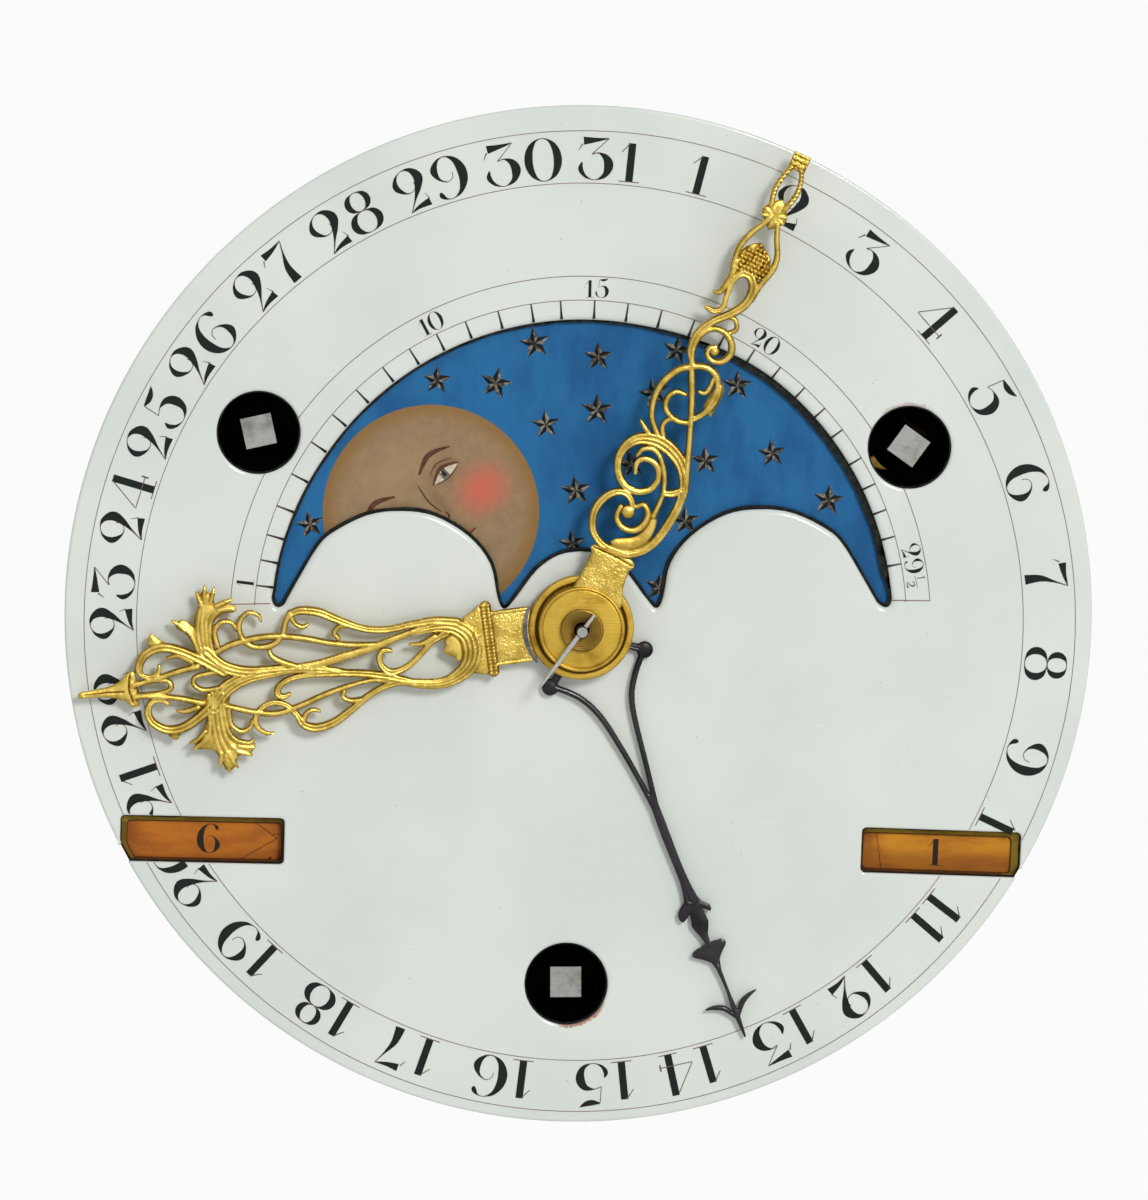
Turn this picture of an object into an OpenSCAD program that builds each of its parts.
// Dial and movement of a wall clock with date, moon, month and weekday work.
// The hands turn about the Y axis, the dial faces -Y, and Y = 0 is the rear face of the back plate.

/* [Dial] */
// Diameter of the enamel dial
dial_d = 171; // [168:1:172]
// Height of the dial's centre above the hand axis
dial_rise = 1.2; // [0:0.1:1.5]
// Sideways place of the dial's centre from the hand axis
dial_shift = -0.25; // [-0.4:0.05:0.4]
// Thickness of the enamelled copper
dial_t = 1.6; // [1.2:0.1:1.8]
// Radius of the winding holes in the dial
winding_hole_r = 6.9; // [6:0.1:7]
// Radius of the moon aperture's outer edge
aperture_r = 50.9; // [50:0.1:51]
// Radius of the moon disc
moon_disc_r = 54; // [53:0.5:54.5]
// Radius of the month and weekday discs
day_disc_r = 35; // [34:0.5:35]

/* [Hands] */
// Direction of the hour hand, anticlockwise from 3 o'clock
hour_angle = 187.4; // [0:0.1:360]
// Direction of the minute hand
minute_angle = 64.5; // [0:0.5:360]
// Direction of the date hand
date_angle = 292; // [0:1:360]
// Thickness of the pierced hands
hand_t = 1.2; // [1:0.1:1.4]

/* [Movement] */
// Radius of the dial plate and the front clock plate
plate_r = 81; // [80:0.5:82]
// Radius of the rear clock plate
rear_plate_r = 79; // [78.5:0.5:80]
// Thickness of the clock plates
plate_t = 2.5; // [2:0.1:3]
// Inner height between the clock plates
plate_gap = 29.5; // [29:0.1:30]
// Room for the motion work between the front plate and the dial plate
motion_gap = 10; // [9.8:0.1:10.5]
// Room for the calendar work between the dial plate and the dial
calendar_gap = 9.4; // [9.2:0.1:10]
// Thickness of the dial plate
dial_plate_t = 2; // [1.5:0.1:2.5]
// Width across the flats of the winding squares
square_w = 5.15; // [4.5:0.05:5.2]
// Radius of the spring barrels' drums
drum_r = 18; // [17:0.5:18]
// Pendulum length from the bend of its spring to the bob's centre
pendulum_l = 108; // [100:1:108]
// Radius of the bell's mouth
bell_r = 30; // [28:0.5:30]

/* [Mount] */
// Pitch circle of the case screws
mount_pcd = 150; // [148:1:151]
// Radius of the case screw holes
mount_hole_r = 2.2; // [2:0.1:2.5]

/* [Hidden] */
$fn = 96;
fit = 0.09;
dial_r = dial_d / 2;

// Depths along Y, from the back plate's rear face to the front
y_back = -plate_t;
y_front_rear = y_back - plate_gap;
y_front = y_front_rear - plate_t;
y_plate_rear = y_front - motion_gap;
y_plate = y_plate_rear - dial_plate_t;
y_dial = y_plate - calendar_gap;
y_face = y_dial - dial_t;
y_moon = y_dial + 0.3;
disc_t = 0.7;
y_disc = y_moon + disc_t + 0.3;
y_moon_star = y_disc + disc_t + 0.5;
y_star = y_moon_star + 1.4;
y_date_gear = y_star + 1.4;
y_date_hand = y_face - 1.8;
y_hour_hand = y_face - 3.6;
y_minute_hand = y_face - 5.8;
y_arbor_tip = y_face - 9.2;
y_pair = y_front - 2.3;
y_minute_work = y_front - 4.3;
y_hour_work = y_front - 6.7;
y_day_work = y_front - 9.1;
y_ratchet = y_front - 5.1;
y_great = y_front_rear + 1.5;
y_drum_end = y_back - 6.5;
y_third = y_back - 7.4;
y_second = y_back - 5;
y_hour_wheel_back = y_back - 2.6;
y_escape = y_back - 13;
y_locking = y_back - 9;
y_pendulum = 9;

// Axes of the centre pipes, from the arbor outwards
arbor_r = 2;
cannon_r = 2.9;
hour_pipe_r = 3.9;
date_pipe_r = 4.9;
pivot_r = 0.6;
wheel_arbor_r = 1;
barrel_arbor_r = 3.7;

// Gear modules
great_m = 0.6;
second_m = 0.62;
hour_m = 0.42;
third_m = 0.42;
pair_m = 0.8;
minute_m = 0.7;
hour_work_m = 0.672;
day_m = 0.5;
pin_m = 0.5;
lock_m = 0.4;

// Places on the plates, as [x, z] from the hand axis
centre = [0, 0];
going_axis = [54.7, 29.4];
strike_axis = [-53.4, 32.4];
quarter_axis = [-2.4, -60.8];
hour_arbor_axis = polar(24 * pair_m * 2, 18);
pallet_axis = [0, 48.2];
escape_axis = [0, 32.4];
intermediate_axis = meet(going_axis, great_m * 40, hour_arbor_axis, second_m * 36, -1);
third_axis = meet(hour_arbor_axis, hour_m * 52, escape_axis, third_m * 49, -1);
minute_axis = [0, -16.8];
day_axis = polar(24, -23.6);
month_drive_axis = polar(24, 203.6);
weekday_axis = polar(49.5, -23.6);
month_axis = polar(49.5, 203.6);
strike_pin_axis = strike_axis + polar(great_m * 40, -75);
strike_lock_axis = strike_pin_axis + polar(pin_m * 34, -55);
strike_fly_axis = strike_lock_axis + polar(lock_m * 32, 10);
strike_hammer_axis = strike_pin_axis + polar(18.6, 190);
count_axis = strike_pin_axis + polar(lock_m * 44, -90);
strike_detent_axis = count_axis + polar(24, -20);
quarter_pin_axis = quarter_axis + polar(great_m * 40, 35);
quarter_lock_axis = quarter_pin_axis + polar(pin_m * 34, 60);
quarter_fly_axis = quarter_lock_axis + polar(lock_m * 32, 150);
quarter_hammer_axis = quarter_pin_axis + polar(18.6, -10);
quarter_detent_axis = quarter_pin_axis + polar(20, -45);
going_click_axis = going_axis + polar(13, 88);
strike_click_axis = strike_axis + polar(13, 30);
quarter_click_axis = quarter_axis + polar(13, 180);

plate_pillar_spots = [for (a = [60, 120, 185, 235, 305, 345]) polar(74, a)];
dial_pillar_spots = [for (a = [45, 135, 225, 315]) polar(76, a)];
dial_foot_spots = [for (a = [64, 116, 238, 302]) polar(75, a)];
mount_spots = [for (a = [90, 210, 330]) polar(mount_pcd / 2, a)];

// The point at radius r in direction a
function polar(r, a) = [r * cos(a), r * sin(a)];

// The direction from p to q
function heading(p, q) = atan2(q[1] - p[1], q[0] - p[0]);

// The point at distance rp from p and rq from q, on the right of the way from p to q when side is 1
function meet(p, rp, q, rq, side) =
    let (d = norm(q - p), a = acos((rp * rp + d * d - rq * rq) / (2 * rp * d)))
    p + polar(rp, heading(p, q) - side * a);

// A smooth run of points through p, with n steps between each two
function curve(p, n = 4) = let (last = len(p) - 1) concat(
    [for (i = [0:last - 1]) for (k = [0:n - 1])
        blend(p[max(i - 1, 0)], p[i], p[i + 1], p[min(i + 2, last)], k / n)], [p[last]]);

// A point between b and c on the cubic that leaves b along a-c and reaches c along b-d
function blend(a, b, c, d, t) =
    0.5 * (2 * b + (c - a) * t + (2 * a - 5 * b + 4 * c - d) * t * t + (3 * b - a - 3 * c + d) * t * t * t);

// The sideways unit vector of a run of points at point i
function across(q, i) = let (v = q[min(i + 1, len(q) - 1)] - q[max(i - 1, 0)],
    l = norm([v[0], v[1]])) [-v[1] / l, v[0] / l];

// One edge of a strap whose points are [x, y, width]
function strap_edge(q, side) =
    [for (i = [0:len(q) - 1]) [q[i][0], q[i][1]] + across(q, i) * q[i][2] / 2 * side];

function backwards(q) = [for (i = [len(q) - 1:-1:0]) q[i]];

// The angle that a tooth's curved flank has closed in at height h over the pitch circle r,
// for a rolling circle of radius q
function closing(r, q, h) = let (
    t = acos(((r + q) * (r + q) + q * q - (r + h) * (r + h)) / (2 * q * (r + q))) * q / r,
    turn = t * (r + q) / q)
    atan2((r + q) * sin(t) - q * sin(turn), (r + q) * cos(t) - q * cos(turn));

// Outline of a clock gear of n teeth and module m whose mate has `mate` teeth
function gear_points(n, m, mate, add, ded = 1.5) =
    let (r = n * m / 2, q = mate * m / 4, half = 90 / n * (n > 12 ? 0.8 : 0.66),
        h = n > 12 ? [-ded * m, 0, add * m] : [-ded * m, 0, add * m * 0.6, add * m], last = len(h) - 1)
    [for (k = [0:n - 1]) for (s = [-1, 1]) for (j = s < 0 ? [0:last] : [last:-1:0])
        polar(r + h[j], 360 * k / n + s * max(half - (h[j] > 0 ? closing(r, q, h[j]) : 0), half * 0.12))];

// Outline of a ratchet or escape wheel: n raked points of the given depth
function raked_points(n, r, depth, lean) =
    [for (k = [0:n - 1]) for (p = [polar(r, 360 * k / n),
        polar(r - depth, 360 * (k + lean) / n), polar(r - depth, 360 * (k + 0.85) / n)]) p];

// Outline of a star wheel of n points
function star_points(n, r, depth) =
    [for (k = [0:n - 1]) for (p = [polar(r, 360 * k / n), polar(r - depth, 360 * (k + 0.5) / n)]) p];

// Outline of a flat strip coiled from radius r0 to r1
function coil_points(r0, r1, turns, t) = let (n = turns * 20) concat(
    [for (i = [0:n]) polar(r0 + (r1 - t - r0) * i / n, 360 * turns * i / n)],
    [for (i = [n:-1:0]) polar(r0 + t + (r1 - t - r0) * i / n, 360 * turns * i / n)]);

// A flat piece with its outline in the XZ plane, from y to y + t
module slab(y, t) {
    translate([0, y + t, 0]) rotate([90, 0, 0]) linear_extrude(height = t) children();
}

// A round rod along Y from y, at p
module rod(p, y, length, r) {
    translate([p[0], y, p[1]]) rotate([-90, 0, 0]) cylinder(h = length, r = r);
}

// A turned piece about the Y axis at p, with its profile in [radius, depth behind y]
module turned(p, y, profile) {
    translate([p[0], y, p[1]]) rotate([-90, 0, 0]) rotate_extrude() polygon(profile);
}

module strap(q) {
    polygon(concat(strap_edge(q, 1), backwards(strap_edge(q, -1))));
}

// A smooth strap through hand-chosen points, each [x, y, width]
module stroke(p) {
    strap(curve(p));
}

// A leaf or other closed shape through hand-chosen corners
module leaf(p) {
    polygon(curve(concat(p, [p[0]]), 2));
}

module disc_at(p, r) {
    translate(p) circle(r);
}

// A gear at p whose tooth, or gap where gap is true, points at its mate's axis
module gear(p, mate_axis, y, t, n, m, mate, add, gap = false, bore = 0, arms = 0) {
    slab(y, t) translate(p) difference() {
        rotate(heading(p, mate_axis) + (gap ? 180 / n : 0)) polygon(gear_points(n, m, mate, add));
        if (bore > 0) circle(bore);
        if (arms > 0) crossing(bore + 2.6, n * m / 2 - 2.6 * m - 0.6, arms, 2);
    }
}

// The windows between a wheel's arms
module crossing(inner, outer, arms, width) {
    difference() {
        circle(outer);
        circle(inner);
        for (k = [0:arms - 1]) rotate(360 * k / arms) translate([0, -width / 2]) square([outer + 1, width]);
    }
}

// A steel arbor between the plates with a pivot in each
module arbor(p, r = wheel_arbor_r) {
    rod(p, y_front_rear + 0.2, plate_gap - 0.4, r);
    rod(p, y_front_rear - 2, plate_gap + 4, pivot_r);
}

// Outline of the moon aperture's lower edge, left half, from the horn to the middle
aperture_left = [[-50.9, 4.6], [-50.2, 3.3], [-49.1, 4], [-47, 7.8], [-43.9, 13], [-41.3, 15.6],
    [-35.5, 18.5], [-29.8, 19.2], [-24.1, 18.3], [-18.4, 14.8], [-14.9, 10.2], [-13.7, 4.6],
    [-12.7, 2.7], [-11.1, 4.2], [-7.3, 9.2], [-3.6, 11.7], [0, 12.3]];

module moon_aperture() {
    left = curve(aperture_left, 3);
    right = [for (p = backwards(left)) [-p[0], p[1]]];
    start = asin(4.6 / aperture_r);
    polygon(concat(left, right, [for (a = [start + 2:3:178 - start]) polar(aperture_r, a)]));
}

// One calendar window: its corner nearest the middle, its width and height, and its tilt
module window(corner, size, tilt) {
    translate(corner) rotate(tilt) translate([0, -size[1]]) square(size);
}

module dial_openings() {
    moon_aperture();
    window([-76.6, -31.75], [27.3, 7.75], -1.6);
    window([47.1, -34.6], [26.6, 7.6], -2.3);
    disc_at(going_axis, winding_hole_r);
    disc_at(strike_axis, winding_hole_r);
    disc_at(quarter_axis, winding_hole_r);
    circle(date_pipe_r + 0.6);
}

module enamel_dial() color("#dfe4de") {
    difference() {
        translate([dial_shift, y_dial, dial_rise]) rotate([90, 0, 0]) rotate_extrude()
            polygon([[0, 0], [dial_r - 0.6, 0], [dial_r - 0.1, 0.4], [dial_r, 0.9],
                [dial_r - 0.3, 1.4], [dial_r - 1, dial_t], [0, dial_t]]);
        slab(y_face - 1, dial_t + 2) dial_openings();
    }
    for (p = dial_foot_spots) rod(p, y_dial, calendar_gap + dial_plate_t + 1.5, 1.5);
}

module dial_plate() color("#c9a227") slab(y_plate, dial_plate_t) difference() {
    circle(plate_r);
    circle(hour_pipe_r + 0.6);
    for (p = [going_axis, strike_axis, quarter_axis]) disc_at(p, 6);
    for (p = dial_foot_spots) disc_at(p, 1.6);
    for (p = dial_pillar_spots) disc_at(p, 1.6);
    disc_at(day_axis, 1.5 + fit);
    for (p = [month_drive_axis, month_axis, weekday_axis, minute_axis]) disc_at(p, 1.5);
    for (p = jumper_feet) disc_at(p, 1);
}

module dial_pillars() color("#caa53a") for (p = dial_pillar_spots)
    turned(p, y_plate_rear, [[1.2, 0], [3.5, 0], [3.5, 1], [2.6, 2], [2.6, motion_gap - 2],
        [3.5, motion_gap - 1], [3.5, motion_gap], [1.5, motion_gap], [1.5, motion_gap + plate_t],
        [0, motion_gap + plate_t], [0, 5], [1.2, 5]]);

// A cheese-head screw of thread radius 1.2 whose head rests on depth y and points along `way`
module screw(p, y, length, way) {
    rod(p, way > 0 ? y - length : y, length, 1.2);
    difference() {
        rod(p, way > 0 ? y : y - 1.6, 1.6, 2.6);
        translate([p[0], way > 0 ? y + 1.7 : y - 1.7, p[1]]) cube([6, 1.4, 0.6], center = true);
    }
}

module plate_screws() color("#3d5a8a") {
    for (p = dial_pillar_spots) screw(p, y_plate, 6.5, -1);
    for (p = plate_pillar_spots) screw(p, 0, 7, 1);
    for (x = [-8, 8]) screw([x, 61], 2, 4, 1);
    screw(bell_foot, 2, 4, 1);
}

full_arbors = [intermediate_axis, third_axis, escape_axis, strike_pin_axis, strike_lock_axis,
    strike_fly_axis, quarter_pin_axis, quarter_lock_axis, quarter_fly_axis];
rear_arbors = [strike_hammer_axis, quarter_hammer_axis, strike_detent_axis, quarter_detent_axis];

module front_plate() color("#c39b2e") slab(y_front, plate_t) difference() {
    circle(plate_r);
    circle(arbor_r + fit);
    disc_at(hour_arbor_axis, 1.5 + fit);
    disc_at(day_axis, pivot_r + fit);
    disc_at(pallet_axis, pivot_r + fit);
    for (p = full_arbors) disc_at(p, pivot_r + fit);
    for (p = rear_arbors) disc_at(p, pivot_r + fit);
    for (p = [going_axis, strike_axis, quarter_axis]) disc_at(p, barrel_arbor_r + fit);
    for (p = plate_pillar_spots) disc_at(p, 1.5);
    for (p = dial_pillar_spots) disc_at(p, 1.5);
    for (p = click_axes) disc_at(p, 1.5);
    for (k = [0:2]) disc_at(click_foot(k), 1);
}

module back_plate() color("#c39b2e") slab(y_back, plate_t) difference() {
    circle(rear_plate_r);
    circle(1.5 + fit);
    disc_at(hour_arbor_axis, pivot_r + fit);
    disc_at(pallet_axis, 3.2);
    for (p = full_arbors) disc_at(p, p == strike_pin_axis || p == quarter_pin_axis ?
        wheel_arbor_r + fit : pivot_r + fit);
    for (p = rear_arbors) disc_at(p, wheel_arbor_r + fit);
    for (p = [going_axis, strike_axis, quarter_axis]) disc_at(p, 2.5 + fit);
    for (p = plate_pillar_spots) disc_at(p, 1.3);
    for (p = mount_spots) disc_at(p, mount_hole_r);
    for (x = [-8, 8]) disc_at([x, 61], 1.2);
    disc_at(bell_foot, 1.2);
    disc_at(count_axis, 1.5);
}

module plate_pillars() color("#caa53a") for (p = plate_pillar_spots)
    turned(p, y_front, [[0, 0], [1.5, 0], [1.5, plate_t], [4, plate_t], [4, plate_t + 2],
        [2.8, plate_t + 3.5], [2.8, plate_t + 12.5], [3.8, plate_t + 14.7], [2.8, plate_t + 17],
        [2.8, plate_t + 26], [4, plate_t + 27.5], [4, plate_t + plate_gap],
        [1.2, plate_t + plate_gap], [1.2, plate_t + 22], [0, plate_t + 22]]);

click_axes = [going_click_axis, strike_click_axis, quarter_click_axis];
barrel_axes = [going_axis, strike_axis, quarter_axis];

// A fixed steel stud at p, riveted in the plate that starts at `root` and running from y0 to y1
module stud(p, y0, y1, root, root_t, r) {
    rod(p, y0, y1 - y0, r);
    rod(p, root, root_t, 1.5);
}

module studs() color("#8c9298") {
    stud(month_drive_axis, y_star - 0.2, y_plate, y_plate, dial_plate_t, 1.2);
    stud(month_axis, y_disc - 0.2, y_plate, y_plate, dial_plate_t, 1.5);
    stud(weekday_axis, y_disc - 0.2, y_plate, y_plate, dial_plate_t, 1.5);
    stud(minute_axis, y_plate_rear, y_pair + 0.9 - 2, y_plate, dial_plate_t, 1.2);
    for (p = click_axes) stud(p, y_ratchet - 0.6, y_front, y_front, plate_t, 1.5);
    stud(count_axis, 0, 3, y_back, plate_t, 1.2);
}

// Feet of the four jumpers, which press on the moon, date, month and weekday stars
jumper_feet = [[-16, 24], [16, 24], [-24, -32], [24, -32]];
jumper_tips = [polar(14.4, 118), polar(14.4, 62), month_axis + polar(15.9, -10),
    weekday_axis + polar(15.9, 190)];
jumper_depths = [y_moon_star, y_star, y_star, y_star];

module star_jumpers() for (k = [0:3]) {
    foot = jumper_feet[k];
    tip = jumper_tips[k];
    rod(foot, jumper_depths[k] + 0.2, y_plate + dial_plate_t - jumper_depths[k] - 0.2, 1);
    slab(jumper_depths[k] + 0.2, 0.6) {
        disc_at(foot, 2.4);
        stroke([[foot[0], foot[1], 1.6],
            [(foot[0] + tip[0]) / 2 + (tip[0] > 0 ? 1.5 : -1.5), (foot[1] + tip[1]) / 2, 0.8],
            [tip[0], tip[1], 1.2]]);
    }
}

// Foot of click spring k, beside its click
click_sides = [34, -34, 34];
function click_foot(k) = barrel_axes[k] + polar(19, heading(barrel_axes[k], click_axes[k]) + click_sides[k]);

module click_springs() for (k = [0:2]) {
    foot = click_foot(k);
    tip = click_axes[k] + polar(3.7, heading(barrel_axes[k], click_axes[k]) + click_sides[k] / 3);
    rod(foot, y_ratchet + 0.3, y_front + 2 - y_ratchet - 0.3, 1);
    slab(y_ratchet + 0.3, 1.2) {
        disc_at(foot, 2);
        stroke([[foot[0], foot[1], 1.4], [(foot[0] + tip[0]) / 2, (foot[1] + tip[1]) / 2 + 1, 0.7],
            [tip[0], tip[1], 0.6]]);
    }
}

module leaf_springs() color("#56606b") {
    star_jumpers();
    click_springs();
}

// Bracket on the back plate that holds the pallet arbor's rear pivot and the pendulum's pin
module suspension_cock() color("#caa53a") {
    difference() {
        slab(0, 2) difference() {
            translate([-12, 44]) square([24, 22]);
            disc_at(pallet_axis, pivot_r + fit);
            for (x = [-8, 8]) disc_at([x, 61], 1.3);
        }
        translate([-13, -1, 43]) cube([7, 4, 10]);
        translate([6, -1, 43]) cube([7, 4, 10]);
    }
    translate([-4, 2, 52]) cube([8, 11, 12]);
    for (y = [y_pendulum - 3.2, y_pendulum + 1.9]) slab(y, 1.3) difference() {
        translate([-4, 45]) square([8, 7.5]);
        disc_at(pallet_axis, 1 + fit);
    }
}

module suspension_spring() color("#5c6f86") {
    rod(pallet_axis, y_pendulum - 3.4, 6.8, 1);
    translate([-1.6, y_pendulum - 1.4, pallet_axis[1] - 1.4]) cube([3.2, 2.8, 2.8]);
    translate([-0.1, y_pendulum - 1.2, 44]) cube([0.2, 2.4, 4]);
}

bell_foot = [24, 14];
bell_y = 17;

module bell() color("#d8c58a") turned(centre, bell_y, [[bell_r, 0], [bell_r - 1.6, 0],
    [bell_r - 2.2, 3], [bell_r - 3.6, 7], [bell_r - 7, 11.4], [bell_r - 13, 14.6], [8, 16], [2, 16],
    [2, 17.6], [8.4, 17.6], [bell_r - 12.4, 16.1], [bell_r - 5.8, 12.4], [bell_r - 2.2, 7.4],
    [bell_r - 0.7, 3.2]]);

module bell_stand() color("#8c9298") {
    difference() {
        rod(bell_foot, 0, 2, 5);
        rod(bell_foot, -1, 4, 1.3);
    }
    translate([bell_foot[0] + 3.4, 0, bell_foot[1] - 1.6]) cube([2.4, 15, 3.2]);
    slab(13, 2.4) stroke([[bell_foot[0] + 5.8, bell_foot[1], 3.6], [14, 8, 3], [0, 0, 4]]);
    rod(centre, 13, bell_y + 16 - 13, 3.2);
    rod(centre, bell_y + 16, 5, 2);
    rod(centre, bell_y + 17.6, 2.6, 4);
}

module centre_arbor() color("#a9adb1") difference() {
    union() {
        rod(centre, y_minute_hand - 0.3, y_back - y_minute_hand, arbor_r);
        rod(centre, y_arbor_tip, y_minute_hand - y_arbor_tip, arbor_end_r);
        rod(centre, y_back - 0.4, plate_t + 0.2, 1.5);
    }
    pin_hole();
}

pin_angle = 53;
arbor_end_r = 1;
pin_y = y_face - 8;

module pin_hole() {
    translate([0, pin_y, 0]) rotate([0, -pin_angle, 0]) rotate([0, 90, 0])
        cylinder(h = 10, r = 0.45, center = true);
}

module hand_pin() color("#8d9296") translate([0, pin_y, 0]) rotate([0, -pin_angle, 0])
    rotate([0, 90, 0]) {
        translate([0, 0, -11.6]) cylinder(h = 9.7, r1 = 0.22, r2 = 0.45);
        translate([0, 0, -2]) cylinder(h = 3.4, r = 0.45);
        translate([0, 0, 1.3]) cylinder(h = 2.1, r1 = 0.45, r2 = 0.3);
    }

module hand_collet() color("#b8912c") turned(centre, y_minute_hand - 1.6, [[1.25, 0.5], [1.7, 0.4],
    [3.2, 0], [3.5, 0.2], [3.6, 0.5], [3.4, 1.2], [1.25, 1.2]]);

// Friction-tight pipe with the 12-leaf pinion and the wheel that the hour arbor drives
module cannon_pinion() color("#b8912c") {
    gear(centre, hour_arbor_axis, y_pair, 1.3, 48, pair_m, 48, 0.95, true, arbor_r, 5);
    gear(centre, minute_axis, y_minute_work, 1.4, 12, minute_m, 36, 0.8, true, arbor_r);
    slab(y_minute_hand - 0.3, y_pair + 1.4 - y_minute_hand + 0.3) difference() {
        circle(cannon_r);
        circle(arbor_r);
    }
}

module hour_wheel() color("#c39b2e") {
    gear(centre, minute_axis, y_hour_work, 1.6, 40, hour_work_m, 10, 0.95, false, cannon_r + fit, 4);
    gear(centre, day_axis, y_day_work, 1.4, 32, day_m, 64, 0.9, false, cannon_r + fit);
    slab(y_hour_hand - 0.3, y_hour_work + 1.6 - y_hour_hand + 0.3) difference() {
        circle(hour_pipe_r);
        circle(cannon_r + fit);
    }
}

module minute_wheel() color("#c39b2e") {
    gear(minute_axis, centre, y_minute_work, 1.4, 36, minute_m, 12, 0.95, false, 1.2 + fit, 4);
    gear(minute_axis, centre, y_hour_work - 0.4, 3, 10, hour_work_m, 40, 0.8, true, 1.2 + fit);
}

// Pusher of the calendar work: a hub with one finger, short of the stars that it turns
module finger(p, y, t, reach, a, bore) {
    slab(y, t) translate(p) rotate(a) difference() {
        union() {
            circle(bore + 1.6);
            polygon([[0, -1.6], [reach - 0.2, -0.5], [reach, 0.1], [reach - 0.8, 0.6], [0, 1.6]]);
        }
        if (bore > 0) circle(bore);
    }
}

module day_wheel() color("#c39b2e") {
    gear(day_axis, centre, y_day_work, 1.4, 64, day_m, 32, 0.9, true, 0, 5);
    finger(day_axis, y_moon_star, 1, 10.2, 100, 0);
    finger(day_axis, y_star, 1, 10.2, 60, 0);
    rod(day_axis, y_moon_star, y_front - 0.2 - y_moon_star, 1.5);
    rod(day_axis, y_front - 0.4, plate_t, pivot_r);
}

module date_wheel() color("#c39b2e") {
    slab(y_star, 1) difference() {
        polygon(star_points(31, 13.5, 1.5));
        circle(hour_pipe_r + fit);
        crossing(7, 10.4, 4, 2);
    }
    gear(centre, month_drive_axis, y_date_gear, 1, 48, day_m, 48, 0.9, false, hour_pipe_r + fit, 4);
    slab(y_date_hand - 0.2, y_date_gear + 1 - y_date_hand + 0.2) difference() {
        circle(date_pipe_r);
        circle(hour_pipe_r + fit);
    }
}

module month_wheel() color("#c39b2e") {
    gear(month_drive_axis, centre, y_date_gear, 1, 48, day_m, 48, 0.9, true, 1.2 + fit, 4);
    finger(month_drive_axis, y_star, 1, 10.2, 120, 1.2 + fit);
    slab(y_star, y_date_gear + 1 - y_star) translate(month_drive_axis) difference() {
        circle(2.8);
        circle(1.2 + fit);
    }
}

module moon_disc() color("#25699f") {
    slab(y_moon, disc_t) difference() {
        circle(moon_disc_r);
        circle(date_pipe_r + fit);
    }
    slab(y_moon + disc_t, y_moon_star + 1 - y_moon - disc_t) difference() {
        circle(8);
        circle(date_pipe_r + fit);
    }
    slab(y_moon_star, 1) difference() {
        polygon(star_points(59, 13.5, 1.1));
        circle(7);
    }
}

// A calendar disc with its star of n points, turning on a stud
module calendar_disc(p, n, depth) color("#c08a2c") {
    slab(y_disc, disc_t) difference() {
        disc_at(p, day_disc_r);
        disc_at(p, 1.5 + fit);
    }
    slab(y_disc + disc_t, y_star + 1 - y_disc - disc_t) difference() {
        disc_at(p, 5);
        disc_at(p, 1.5 + fit);
    }
    slab(y_star, 1) translate(p) difference() {
        polygon(star_points(n, 15, depth));
        circle(4);
    }
}

module month_disc() calendar_disc(month_axis, 12, 3.4);
module weekday_disc() calendar_disc(weekday_axis, 7, 5);

// Drum with its great wheel, hollow for the mainspring, and its cap
module barrel(p, mate_axis) color("#c9a53a") {
    gear(p, mate_axis, y_great, 2.3, 70, great_m, 10, 0.95, false, barrel_arbor_r + fit);
    turned(p, y_great, [[barrel_arbor_r + fit, 2.2], [drum_r, 2.2], [drum_r, y_drum_end - y_great],
        [barrel_arbor_r + fit, y_drum_end - y_great], [barrel_arbor_r + fit, y_drum_end - y_great - 1.2],
        [drum_r - 1.2, y_drum_end - y_great - 1.2], [drum_r - 1.2, 3.6], [barrel_arbor_r + fit, 3.6]]);
}

module mainspring(p) color("#56606b") slab(y_great + 4, y_drum_end - y_great - 5.6)
    translate(p) polygon(coil_points(5.6, drum_r - 1.5, 6, 0.5));

// Winding arbor with its square, and the ratchet that the click holds
module winding_arbor(p, square_angle) color("#a9adb1") {
    difference() {
        rod(p, y_face + 2, y_back - y_face - 2.3, barrel_arbor_r);
        slab(y_face + 1, y_ratchet - y_face - 3) translate(p) difference() {
            circle(barrel_arbor_r + 1);
            rotate(square_angle) square(square_w, center = true);
        }
    }
    rod(p, y_back - 0.4, plate_t + 0.2, 2.5);
    slab(y_great + 4.2, 14) translate(p) difference() {
        circle(4.8);
        circle(barrel_arbor_r - 0.5);
    }
    slab(y_ratchet, 2.2) translate(p) difference() {
        polygon(raked_points(24, 9, 1.3, 0.1));
        circle(barrel_arbor_r - 0.5);
    }
}

// Click that drops into the ratchet of the barrel at p
module click(p, k) color("#7d8388") {
    axis = click_axes[k];
    back = heading(axis, p);
    slab(y_ratchet + 0.1, 2) translate(axis) rotate(back) difference() {
        polygon(concat([for (a = [70:11:345]) polar(3, a)], [[4.6, 3.4], [4.9, 4.3]]));
        circle(1.5 + fit);
    }
}

module intermediate_wheel() color("#c39b2e") {
    arbor(intermediate_axis);
    gear(intermediate_axis, going_axis, y_great - 0.4, 3.4, 10, great_m, 70, 0.7, true);
    gear(intermediate_axis, hour_arbor_axis, y_second, 1.2, 60, second_m, 12, 0.95, false, 0, 5);
}

// Wheel that turns the hands, friction-tight on the hour arbor so that they can be set
module setting_wheel() color("#c39b2e")
    gear(hour_arbor_axis, centre, y_pair, 1.3, 48, pair_m, 48, 0.95, false, 1.5 + fit, 5);

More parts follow.
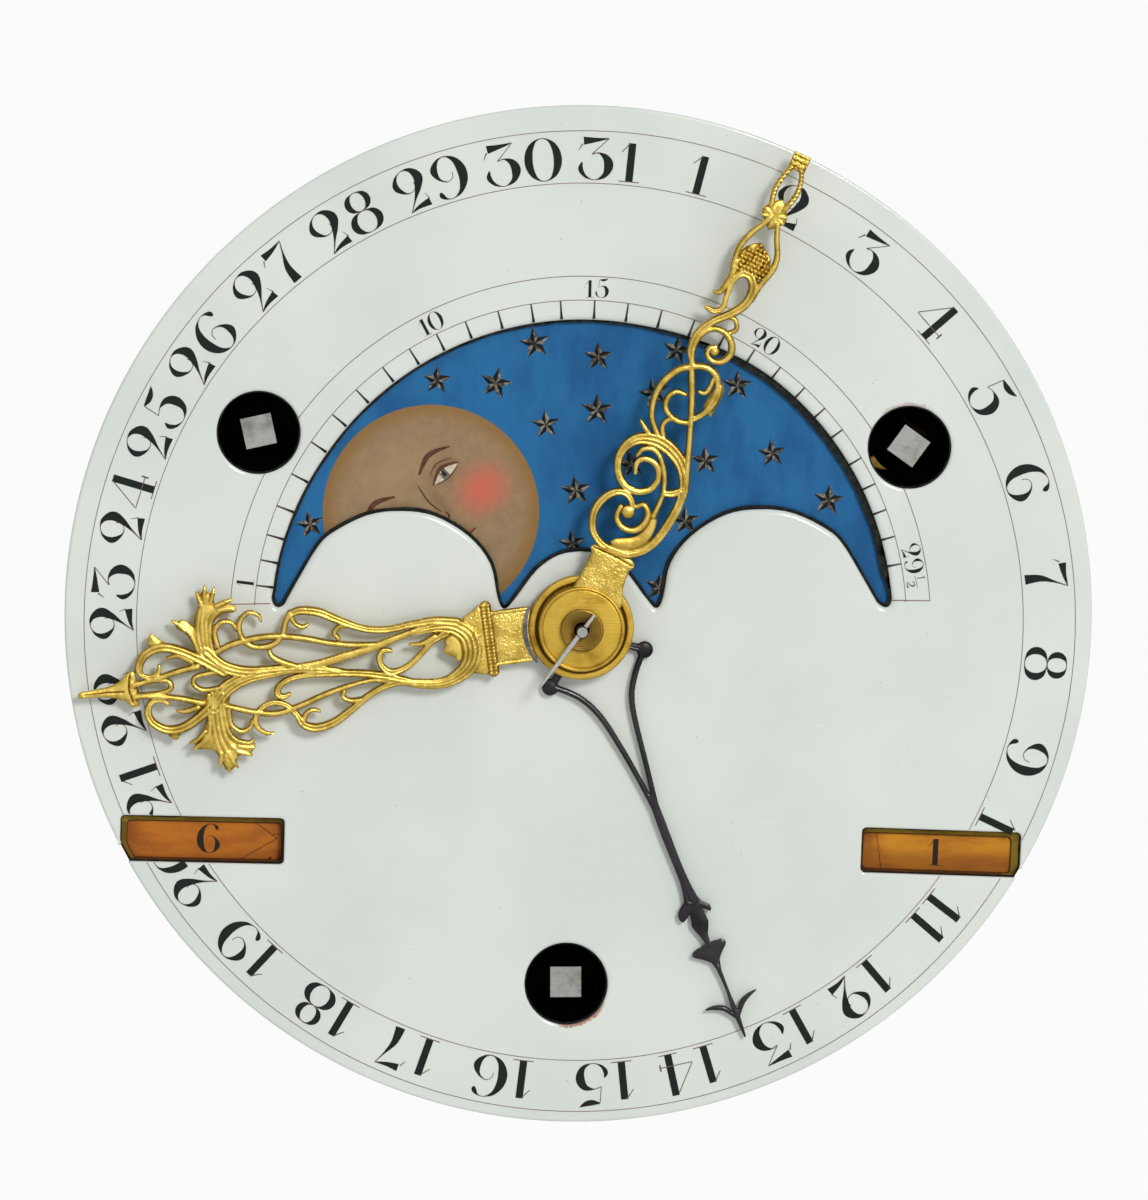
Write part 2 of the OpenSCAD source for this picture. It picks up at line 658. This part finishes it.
module hour_arbor() color("#c39b2e") {
    rod(hour_arbor_axis, y_pair - 0.8, y_back - y_pair + 0.6, 1.5);
    rod(hour_arbor_axis, y_pair - 0.8, 0.7, 2.6);
    rod(hour_arbor_axis, y_back - 0.4, plate_t, pivot_r);
    gear(hour_arbor_axis, intermediate_axis, y_second - 0.6, 2.4, 12, second_m, 60, 0.7, true);
    gear(hour_arbor_axis, third_axis, y_hour_wheel_back, 1, 96, hour_m, 8, 0.95, false, 0, 6);
}

module third_wheel() color("#c39b2e") {
    arbor(third_axis);
    gear(third_axis, hour_arbor_axis, y_hour_wheel_back - 0.7, 2.4, 8, hour_m, 96, 0.7, true);
    gear(third_axis, escape_axis, y_third, 1, 90, third_m, 8, 0.95, false, 0, 5);
}

module escape_wheel() color("#c9a53a") {
    arbor(escape_axis);
    gear(escape_axis, third_axis, y_third - 0.9, 2.8, 8, third_m, 90, 0.7, true);
    slab(y_escape, 1) translate(escape_axis) difference() {
        polygon(raked_points(40, 11, 1.5, 0.2));
        crossing(3, 8, 4, 1.6);
    }
}

// Anchor that spans ten teeth, clear of the wheel's points by the swing that it makes
module pallets() color("#7d8388") {
    arbor(pallet_axis);
    rod(pallet_axis, y_back - 0.4, 6.4, pivot_r);
    rod(pallet_axis, y_back - 0.4, 2.2, 2);
    slab(y_escape - 0.6, 2.2) translate(pallet_axis) {
        circle(3);
        for (s = [-1, 1]) stroke([[0, 0.6, 3.4], [s * 5.6, -2, 2.6], [s * 9.4, -5.4, 2.2],
            [s * 9.6, -7.2, 1.2]]);
    }
}

crutch_l = 20;

module crutch() color("#7d8388") {
    slab(2.8, 1.2) difference() {
        union() {
            disc_at(pallet_axis, 3);
            translate([-1.2, pallet_axis[1] - crutch_l]) square([2.4, crutch_l]);
            translate([-2.4, pallet_axis[1] - crutch_l - 1]) square([4.8, 2.4]);
        }
        disc_at(pallet_axis, pivot_r);
    }
    for (x = [-2.4, 1.3]) translate([x, 3.5, pallet_axis[1] - crutch_l - 1]) cube([1.1, 8.5, 2.4]);
}

bob_z = pallet_axis[1] - pendulum_l;
bob_r = 17;

module pendulum_rod() color("#b08d35") {
    translate([0, y_pendulum, bob_z - bob_r - 4.5]) cylinder(h = 44 - bob_z + bob_r + 4.5, r = 1);
    difference() {
        translate([-2, y_pendulum - 1.4, 40]) cube([4, 2.8, 5]);
        translate([-0.1, y_pendulum - 1.2, 44]) cube([0.2, 2.4, 2]);
    }
    translate([0, y_pendulum, bob_z - bob_r - 3]) cylinder(h = 2.8, r = 3.6);
}

module pendulum_bob() color("#c9a53a") difference() {
    turned([0, bob_z], y_pendulum - 4.5, [[0, 0], [7, 0.5], [12, 1.6], [15.6, 3], [bob_r, 4.1],
        [bob_r, 4.9], [15.6, 6], [12, 7.4], [7, 8.5], [0, 9]]);
    translate([0, y_pendulum, bob_z - bob_r - 1]) cylinder(h = 2 * bob_r + 2, r = 1);
}

// Pin wheel whose pins lift the hammer, on an arbor that passes the back plate
module pin_wheel(p, barrel_axis, lock_axis) {
    rod(p, y_front_rear + 0.2, 2.6 - y_front_rear - 0.2, wheel_arbor_r);
    rod(p, y_front_rear - 2, 3, pivot_r);
    gear(p, barrel_axis, y_great - 0.4, 3.4, 10, great_m, 70, 0.7, true);
    gear(p, lock_axis, y_second, 1.2, 60, pin_m, 8, 0.95, false, 0, 5);
    for (k = [0:9]) rod(p + polar(13.65, 36 * k + 11), y_second + 1, 2.4, 0.5);
}

module strike_pin_wheel() color("#c39b2e") {
    pin_wheel(strike_pin_axis, strike_axis, strike_lock_axis);
    gear(strike_pin_axis, count_axis, 0.8, 1.8, 10, lock_m, 78, 0.7, true);
}

// The quarter wheel carries its own count disc behind the plate, once round in an hour
module quarter_pin_wheel() color("#c39b2e") {
    pin_wheel(quarter_pin_axis, quarter_axis, quarter_lock_axis);
    slab(1, 1.4) translate(quarter_pin_axis) difference() {
        circle(12);
        for (a = [36, 108, 216, 0]) rotate(a) translate([10.4, -0.8]) square([3, 1.6]);
    }
}

module locking_wheel(p, pin_axis, fly_axis) color("#c39b2e") {
    arbor(p);
    gear(p, pin_axis, y_second - 0.6, 2.4, 8, pin_m, 60, 0.7, true);
    gear(p, fly_axis, y_locking, 1, 56, lock_m, 8, 0.95, false, 0, 4);
    rod(p + polar(10.1, 200), y_locking - 1.6, 2, 0.5);
}

module fly(p, lock_axis) color("#b8912c") {
    arbor(p);
    gear(p, lock_axis, y_locking - 0.7, 2.4, 8, lock_m, 56, 0.7, true);
    translate([p[0] - 9, y_front_rear + 6, p[1] - 0.3]) cube([18, 11, 0.6]);
    rod(p, y_front_rear + 8, 7, 2);
}

module strike_count_wheel() color("#c39b2e") {
    gear(count_axis, strike_pin_axis, 1, 1.4, 78, lock_m, 10, 0.95, false, 1.2 + fit, 5);
}

// Arm of a detent, from its arbor towards the rim that it drops on
module detent(p, rim_axis, reach) color("#7d8388") {
    rod(p, y_front_rear + 0.2, 2.4 - y_front_rear - 0.2, wheel_arbor_r);
    rod(p, y_front_rear - 2, 3, pivot_r);
    slab(1, 1.4) translate(p) rotate(heading(p, rim_axis)) {
        circle(2.8);
        polygon([[0, -1.6], [reach - 1, -0.8], [reach, 0], [reach - 1, 0.8], [0, 1.6]]);
    }
    slab(y_locking - 2.6, 1.4) translate(p) rotate(heading(p, rim_axis)) {
        circle(2.6);
        polygon([[0, -1.2], [5, -0.7], [5, 0.7], [0, 1.2]]);
    }
}

// Hammer: arbor, tail towards the lifting pins, long arm and head at the bell's rim
module hammer(p, pin_axis, head_angle) color("#8d9296") {
    head = polar(bell_r + 0.6, head_angle);
    outer = polar(bell_r + 6.4, head_angle);
    shank = polar(bell_r + 3.4, head_angle);
    rod(p, y_front_rear + 0.2, bell_y + 3.6 - y_front_rear - 0.2, wheel_arbor_r);
    rod(p, y_front_rear - 2, 3, pivot_r);
    slab(y_second + 1.6, 1) translate(p) rotate(heading(p, pin_axis)) {
        circle(2.6);
        polygon([[0, -1.4], [3.9, -0.8], [4.2, 0], [3.9, 0.8], [0, 1.4]]);
    }
    slab(bell_y + 1.6, 1.6) {
        disc_at(p, 3);
        stroke([[p[0], p[1], 2.4], [(p[0] + shank[0]) / 2, (p[1] + shank[1]) / 2, 1.8],
            [shank[0], shank[1], 2.6]]);
    }
    translate([head[0], bell_y + 2.4, head[1]]) rotate([0, -head_angle, 0]) rotate([0, 90, 0])
        cylinder(h = norm(outer - head), r = 2.6);
}

// The date hand: a ring under the hour hub, two knobs, a fork that joins in a stem, leaves and a crescent
module date_fork() {
    disc_at([8.4, 8.8], 1.4);
    disc_at([8.3, -8.7], 1.4);
    stroke([[4.6, 4, 1.6], [6.8, 6.8, 1.3], [8.4, 8.8, 1.4]]);
    stroke([[4.6, -4, 1.6], [6.8, -6.8, 1.3], [8.3, -8.7, 1.4]]);
    stroke([[8.5, 8.4, 1], [11.2, 5.3, 1], [14.2, 3.4, 1], [18.2, 2.4, 0.95], [25.2, 1.4, 0.9],
        [31.2, 0.5, 0.9], [35.2, 0, 0.8]]);
    stroke([[8.3, -8.3, 1], [11.2, -4.9, 1], [15.2, -2.8, 1], [21.2, -1.6, 0.95], [27.2, -0.8, 0.9],
        [31.2, -0.4, 0.9], [35.2, -0.1, 0.8]]);
    stroke([[31.2, 0.1, 1.3], [37.2, -0.1, 1.5], [43.2, -0.2, 1.4], [47.2, -0.2, 1.6], [49.8, -0.3, 2.4]]);
    leaf([[48.6, 0.6], [50.7, 1.2], [51.9, 2.3], [52.9, 2], [51.9, 0.9], [54.2, 1.1], [56.2, 0.2],
        [58.2, -0.1], [58.2, -0.7], [56, -1.3], [54.2, -1.9], [52.2, -1.4], [53, -2.8], [52.4, -3.4],
        [51.2, -3.1], [49.8, -1.4]]);
    leaf([[57.8, -0.1], [58, 2], [58.8, 2.4], [59.5, 1.8], [61, 0.4], [63.2, -0.1], [63.2, -0.7],
        [61.2, -1.1], [59.8, -2.7], [59, -3.7], [58.2, -3], [57.9, -0.8]]);
    stroke([[62.2, -0.4, 0.8], [66.2, -0.4, 0.55], [69.2, -0.5, 0.8], [71.2, -0.5, 0.9], [74.8, -0.6, 0.35]]);
    stroke([[71.2, -0.3, 0.5], [69.4, 1, 0.9], [68.6, 2.4, 0.7], [68.2, 4, 0.2]]);
    stroke([[71.2, -0.8, 0.5], [69.2, -2, 0.9], [68.4, -3.6, 0.7], [68.2, -5, 0.2]]);
}

module date_hand() color("#26425c") slab(y_date_hand, 0.8) rotate(date_angle) difference() {
    offset(delta = 0.01) {
        circle(7.2);
        date_fork();
    }
    circle(date_pipe_r);
}

// The hour hand: neck, beaded band, scroll, crossing strands, two acanthus leaves, bell and bar
module hour_scrolls() {
    translate([8, -4.5]) square([7, 9]);
    translate([14.6, -6.3]) square([1.4, 12.6]);
    leaf([[15.8, 5.8], [17.6, 5.6], [19.6, 4.6], [20.4, 1.4], [20.4, -1.4], [19.4, -4], [17.6, -5],
        [15.8, -5.2]]);
    stroke([[33, 4.3, 1], [28, 5.8, 1.6], [24, 6.2, 1.8], [21.2, 5.4, 2.2], [19.3, 3.7, 2.7],
        [18.8, 1.2, 3], [19.4, -1.2, 3], [21.4, -2.9, 2.6], [24, -3.3, 2], [28, -2.9, 1.1]]);
    stroke([[20.4, -3.6, 1.6], [24, -4.3, 1.4], [28, -4.2, 1.2], [32, -3.9, 1.2], [36, -4.6, 1.2],
        [40, -6.6, 1.4], [43, -8.3, 1.5], [46, -9, 1.4], [47.8, -8.6, 1.1]]);
    leaf([[20.6, -0.4], [21, 1.6], [22, 2.2], [23.4, 1], [22.9, 0.2], [22.4, -1], [21.4, -1.6]]);
    stroke([[22.4, -2, 1.4], [25, -0.9, 1.1], [27, 0.9, 1], [29, 2.4, 1], [31, 3.2, 1.1], [32.6, 3.2, 1.3],
        [33.8, 2, 1.1], [34, 0.4, 1], [33.2, -0.5, 0.9], [32.1, -0.3, 0.8]]);
    stroke([[24.4, -1.7, 1], [26.6, -0.8, 0.9], [28.7, -0.9, 0.4]]);
    stroke([[28, 5.9, 1], [31, 5.2, 1.1], [34, 5.6, 1.1], [37, 6.9, 1.1], [40, 8.8, 1.3], [43, 10.4, 1.4],
        [46, 10.9, 1.5], [48, 10, 1.4], [48.9, 8.2, 1.1], [50.3, 6.5, 1], [52.5, 5.7, 1], [54.6, 6.4, 1],
        [55.8, 8, 1], [55.5, 9.7, 0.9], [54.3, 10.7, 0.7], [53, 10.8, 0.3]]);
    stroke([[38.2, 7.2, 0.9], [39.8, 7.1, 0.9], [40.9, 6.3, 0.9], [40.5, 5.4, 0.8]]);
    stroke([[48, 9.8, 1], [47.4, 8.4, 0.9], [46.2, 7.8, 0.8], [45, 8.2, 0.5]]);
    stroke([[29, 5.3, 1], [34, 3.6, 1.4], [38, 2.7, 1.3], [42, 2.2, 1.2], [46, 1.9, 1], [49, 2.1, 1],
        [51, 3, 1.1], [51.6, 4.4, 1.2], [50.6, 5, 0.9], [49.7, 4.7, 0.7]]);
    stroke([[33, 4.7, 0.9], [36, 4.2, 0.8], [40, 4.7, 0.9], [44, 5.6, 1], [48, 6.8, 1], [52, 7.6, 1],
        [56, 6.8, 1], [60.4, 5.2, 1]]);
    stroke([[28, -3, 1], [32, -2, 1.2], [36, -1, 1.3], [40, -0.4, 1.4], [44, 0.3, 1.4], [50, 0.6, 1.6],
        [56, 0.9, 2.2], [60, 2.4, 2.6], [62.4, 5, 3]]);
    stroke([[40, 2.2, 1], [44, 1.2, 1.2], [50, 0.4, 1.6], [56, 0.1, 2], [60, -1.4, 2.2], [62.6, -4, 2.6]]);
    stroke([[34, -1.7, 0.8], [38, -2.1, 1], [42, -3, 1], [46, -4.3, 1.1], [50, -5.2, 1.1], [54, -5.4, 1.1],
        [58, -4.9, 1.1], [60.6, -4, 1]]);
    stroke([[38.2, -5.4, 0.9], [39.8, -5.5, 0.9], [40.9, -4.5, 0.9], [40.3, -3.5, 0.8]]);
    stroke([[47.6, 0.3, 1], [50, -0.8, 1.1], [51.6, -1.9, 1], [52, -2.9, 0.8]]);
    stroke([[47.8, -8.8, 1], [48.7, -7.4, 1], [49.6, -5.2, 1], [51.5, -3.9, 1.1], [54, -3.9, 1],
        [55.8, -5, 1], [56.5, -6.9, 1], [56.1, -8.7, 0.9], [54.6, -9.8, 0.8], [53.1, -9.2, 0.7],
        [52.7, -8.2, 0.5]]);
    stroke([[47.8, -8.6, 1], [47.2, -7, 0.8], [46, -6.2, 0.8], [45, -6.6, 0.5]]);
    leaf([[59.4, 3.6], [60.2, 6.4], [60.2, 9], [59.4, 10.9], [57.6, 11.8], [56.4, 12], [57.2, 13.6],
        [59.4, 13.8], [60, 15.2], [60.8, 16], [61.9, 15.8], [62.2, 14.4], [63.2, 12.6], [64.2, 12],
        [66, 11.8], [66.4, 11], [65, 10.2], [64.4, 8.2], [63.6, 6], [64, 3.6], [62.4, 2.4]]);
    stroke([[60, 6, 0.9], [59.9, 8.4, 0.9], [58.5, 9.8, 0.9], [56.9, 9.4, 0.8], [56.4, 8.2, 0.6]]);
    leaf([[59.2, -1.2], [60.8, -3.8], [61, -6.4], [60.6, -8.8], [59, -10.2], [57, -10.2], [56.5, -10.9],
        [58, -11.9], [59.9, -11.9], [60.1, -13.4], [61.4, -14.4], [62.1, -13.9], [62.6, -12.2],
        [63.6, -10.3], [64, -8.6], [64.8, -9.6], [66, -10.1], [66.9, -9.3], [66.6, -8.6], [65.2, -7.4],
        [64.2, -5], [63.8, -2.4], [62, -0.8]]);
    stroke([[60.4, -5, 0.9], [60.6, -7.4, 0.9], [59.3, -8.8, 0.9], [57.6, -8.5, 0.8], [57, -7.3, 0.6]]);
    stroke([[61, 3.2, 1.8], [64, 5.8, 1.7], [67.6, 7.8, 1.6], [70.6, 7.9, 1.5], [72.8, 6.4, 1.4],
        [73.4, 4.6, 1.3], [72.6, 3, 1], [71, 2.8, 0.9], [69.9, 3.6, 0.7]]);
    leaf([[66.4, 7.8], [68.2, 8.6], [69.2, 9.8], [70.2, 9.2], [70.6, 8]]);
    stroke([[65, 4.8, 1], [67, 5.2, 0.9], [68.5, 5, 0.4]]);
    stroke([[64.2, 4.2, 1.1], [68, 2.9, 1], [72, 2, 1], [75.2, 1.7, 1]]);
    stroke([[60, -0.4, 1.8], [63, -2.6, 1.7], [66.4, -4.8, 1.6], [69.6, -5.9, 1.6], [72.4, -5.2, 1.5],
        [73.8, -3.4, 1.4], [73.7, -1.9, 1], [72.2, -1.2, 0.9], [70.8, -1.8, 0.8], [70.5, -2.9, 0.6]]);
    leaf([[67.4, -5.8], [69.6, -7], [71, -8.4], [71.8, -7.6], [71.4, -5.8]]);
    stroke([[65, -2.9, 1], [67.2, -4.2, 0.9], [69, -4, 0.5]]);
    stroke([[64.2, -2, 1.1], [68, -1.5, 1], [72, -0.7, 1], [75.2, -0.3, 1]]);
    stroke([[56, 0.7, 1], [60, 1.9, 0.8], [63.6, 2.1, 0.8], [65.2, 0.9, 0.9], [64.4, -0.4, 0.8],
        [60, -0.5, 0.8], [57, 0.2, 0.8]]);
    stroke([[74.8, 1.4, 0.7], [71, 1.6, 0.7], [69.2, 1.2, 0.9], [69, 0.4, 1], [69.6, -0.3, 0.8],
        [71.6, -0.5, 0.7]]);
    leaf([[74.7, 3.2], [75.8, 3.4], [77, 2.1], [80, 1.1], [84, 0.8], [84.6, 0.3], [84, -0.2], [80, -0.4],
        [77.6, -1], [76.2, -2.2], [75.2, -2.6], [74.6, -2]]);
}

module hour_hand() color("#c79f2b") difference() {
    union() {
        slab(y_hour_hand, hand_t) rotate(hour_angle) offset(delta = 0.01) {
            circle(8.6);
            hour_scrolls();
        }
        turned(centre, y_hour_hand - 0.7, [[0, 0.6], [7.3, 0.6], [7.9, 0.1], [8.2, 0], [8.5, 0.1], [8.8, 0.4],
            [8.8, 2.1], [0, 2.1]]);
    }
    rod(centre, y_hour_hand - 1, hand_t + 2, hour_pipe_r);
}

// The minute hand: neck, four scrolls on one long stem, crown, two eye links and their knots
module minute_scrolls() {
    leaf([[5, 4.4], [9, 4], [12.4, 4.1], [13.2, 4.6], [14.4, 3.4], [14.6, 0.6], [14.2, -2.4], [13.2, -3.4],
        [12.2, -3], [9, -3.3], [5, -4.2]]);
    stroke([[14.4, -0.4, 1.4], [14.4, 3, 1.3], [16, 5.5, 1.3], [19, 6.6, 1.4], [21.8, 6, 1.4],
        [23.6, 4.4, 1.3], [23.7, 2.6, 1.2], [22.5, 1.3, 1.1], [21, 1, 1]]);
    disc_at([21.2, 1.5], 1.2);
    stroke([[21.5, 3, 0.9], [19.7, 2.9, 1], [18.5, 1.4, 1.1], [18.7, -0.6, 1.2], [20.3, -1.7, 1.2],
        [22.3, -1.6, 1.1], [23.4, -0.4, 1], [22.6, 0.6, 0.9]]);
    leaf([[15.2, 2], [16.2, 1.5], [17.6, -0.9], [19.2, -2], [22.4, -2.1], [22.8, -3], [20.6, -3.8],
        [17.6, -3.6], [15.6, -1.8], [14.6, 0.4]]);
    stroke([[14.3, 2.4, 1.2], [14.6, -1, 1.4], [16, -3.2, 1.4], [18.5, -4.7, 1.4], [22, -5.4, 1.5],
        [26, -5.6, 1.5], [29.5, -4.9, 1.8], [32.2, -3, 2.2], [33.7, -0.2, 2.5], [34, 2.6, 2.4],
        [33, 5.2, 2], [31, 6.6, 1.6], [28.8, 6.8, 1.3], [26.6, 5.9, 1.2], [25, 4, 1.3], [24.9, 1.6, 1.2],
        [26.2, -0.2, 1.1], [28.4, -0.6, 1], [30.3, 0.6, 1], [30.5, 2.6, 1], [29.4, 3.7, 0.9],
        [27.6, 3.2, 0.6]]);
    stroke([[22.4, -2.6, 1], [26, -2.5, 0.9], [29, -1.5, 0.9], [31.6, 0.4, 0.9], [32.5, 2.2, 0.9],
        [31.8, 3.8, 0.9], [30.4, 4.2, 0.6]]);
    stroke([[26.6, -2.7, 1.2], [27.2, -4, 1.4], [28.4, -5, 1]]);
    stroke([[34.6, 4, 0.9], [35.3, 5.2, 0.9], [36, 6.2, 0.5]]);
    stroke([[29.4, -5.2, 1.2], [36, -2.7, 1.1], [42, -0.3, 1.1], [46, 1.6, 1.2], [49, 3, 1.1],
        [51.2, 3.6, 1], [53.6, 3.2, 1], [55.1, 1.8, 1], [55.3, 0, 1.1], [54.3, -1.7, 1.2],
        [52.6, -2.5, 1.2], [50.8, -1.9, 1.1], [50.1, -0.4, 1], [50.7, 1, 0.9], [51.9, 1, 0.8],
        [52.5, 0.2, 0.7]]);
    disc_at([51.7, 0.1], 0.8);
    stroke([[34.8, 2.4, 0.9], [37.2, 4.7, 1], [40, 5.7, 1.1], [43, 5.7, 1.2], [46, 4.4, 1.2],
        [47.9, 2.2, 1.2], [48.7, 0, 1.2], [48, -2, 1.2], [46.2, -3, 1], [43.6, -3, 0.8]]);
    stroke([[34.9, 1.4, 0.8], [36.6, 2.5, 0.9], [38, 2.2, 0.9], [38.7, 1, 0.9]]);
    stroke([[39, -1.2, 0.9], [38.5, 1, 1], [39.5, 3.2, 1], [41.4, 3.8, 1], [42.9, 2.9, 0.9],
        [43.1, 1.4, 0.8]]);
    stroke([[39.4, -1.2, 1], [41.6, -2.8, 1], [44, -3.4, 1.4], [46.6, -3.2, 1.2]]);
    leaf([[41.4, -4], [43.8, -4.3], [46.6, -4.2], [47.6, -2.8], [45.4, -2.3], [43.4, -2.2], [42, -2.4]]);
    stroke([[44.5, -0.5, 0.6], [44.7, -1.5, 0.8], [46.2, -1.8, 0.8], [47.8, -1.6, 0.7]]);
    stroke([[48.2, 2.4, 1.1], [50, 3.8, 1.1], [53, 4, 1.2], [56, 2.6, 1.3], [58.5, 0.4, 1.4],
        [61, -1.1, 1.5], [63.8, -1.2, 1.6], [65.5, 0, 1.6], [65.4, 1.6, 1.3], [63.8, 2.4, 1],
        [61, 2.3, 0.9], [59, 2, 0.9], [57.8, 3, 1], [57.8, 4.4, 0.8]]);
    stroke([[55.4, -0.6, 0.7], [56.5, -1.6, 0.8], [57.9, -0.8, 0.8], [57.9, 0.6, 0.7]]);
    stroke([[60.7, 4.5, 0.5], [61.2, 3.5, 0.9], [64, 3.1, 1], [67, 3.3, 1]]);
    leaf([[65, 3.2], [67.4, 3.6], [69.8, 2.9], [71.4, 1], [70.6, -0.2], [69.6, -1.7], [66.8, -2.1],
        [65, 0.4]]);
    stroke([[66, 3.5, 1], [69, 3.9, 1], [72, 3.2, 0.95], [74.4, 2, 0.9], [76, 1.4, 1]]);
    stroke([[62, -1.9, 0.6], [65, -2, 1], [68, -2.7, 1.1], [70.4, -2.5, 1], [73, -1.2, 0.9],
        [75.4, -0.2, 0.9]]);
    leaf([[73.9, 0.8], [75.3, 2.3], [76.6, 3.2], [78.2, 2.3], [79.4, 0.7], [78, -0.6], [76.4, -1.3],
        [75, -0.4]]);
    stroke([[78, 2.2, 0.9], [80.6, 2.7, 0.9], [83, 2.4, 0.8], [85.4, 1.8, 0.9]]);
    stroke([[78, -0.2, 0.9], [81, -0.9, 0.9], [83.6, -0.6, 0.8], [85.4, 0.2, 0.9]]);
    translate([84.8, -0.5]) square([2.9, 2.9]);
}

module minute_hand() color("#c79f2b") difference() {
    union() {
        slab(y_minute_hand, hand_t) rotate(minute_angle) offset(delta = 0.01) {
            circle(7);
            minute_scrolls();
        }
        turned(centre, y_minute_hand - 0.4, [[0, 0], [3.2, 0], [3.2, 0.3], [6, 0.3], [6.4, 0], [6.8, 0],
            [7.2, 0.4], [7.2, 1.6], [0, 1.6]]);
    }
    rod(centre, y_minute_hand - 1, hand_t + 2, cannon_r);
}

strike_head_angle = 234.8;
quarter_head_angle = 2.8;

enamel_dial();
dial_plate();
dial_pillars();
plate_screws();
front_plate();
back_plate();
plate_pillars();
studs();
leaf_springs();
suspension_cock();
suspension_spring();
bell();
bell_stand();
centre_arbor();
cannon_pinion();
setting_wheel();
minute_hand();
hand_collet();
hand_pin();
hour_wheel();
hour_hand();
minute_wheel();
day_wheel();
date_wheel();
date_hand();
month_wheel();
moon_disc();
month_disc();
weekday_disc();
barrel(going_axis, intermediate_axis);  // going_barrel
mainspring(going_axis);  // going_mainspring
winding_arbor(going_axis, -36);  // going_arbor
click(going_axis, 0);  // going_click
intermediate_wheel();
hour_arbor();
third_wheel();
escape_wheel();
pallets();
crutch();
pendulum_rod();
pendulum_bob();
barrel(strike_axis, strike_pin_axis);  // strike_barrel
mainspring(strike_axis);  // strike_mainspring
winding_arbor(strike_axis, 12);  // strike_arbor
click(strike_axis, 1);  // strike_click
strike_pin_wheel();
locking_wheel(strike_lock_axis, strike_pin_axis, strike_fly_axis);  // strike_locking_wheel
fly(strike_fly_axis, strike_lock_axis);  // strike_fly
strike_count_wheel();
detent(strike_detent_axis, count_axis, 7.7);  // strike_detent
hammer(strike_hammer_axis, strike_pin_axis, strike_head_angle);  // strike_hammer
barrel(quarter_axis, quarter_pin_axis);  // quarter_barrel
mainspring(quarter_axis);  // quarter_mainspring
winding_arbor(quarter_axis, 0);  // quarter_arbor
click(quarter_axis, 2);  // quarter_click
quarter_pin_wheel();
locking_wheel(quarter_lock_axis, quarter_pin_axis, quarter_fly_axis);  // quarter_locking_wheel
fly(quarter_fly_axis, quarter_lock_axis);  // quarter_fly
detent(quarter_detent_axis, quarter_pin_axis, 7.7);  // quarter_detent
hammer(quarter_hammer_axis, quarter_pin_axis, quarter_head_angle);  // quarter_hammer
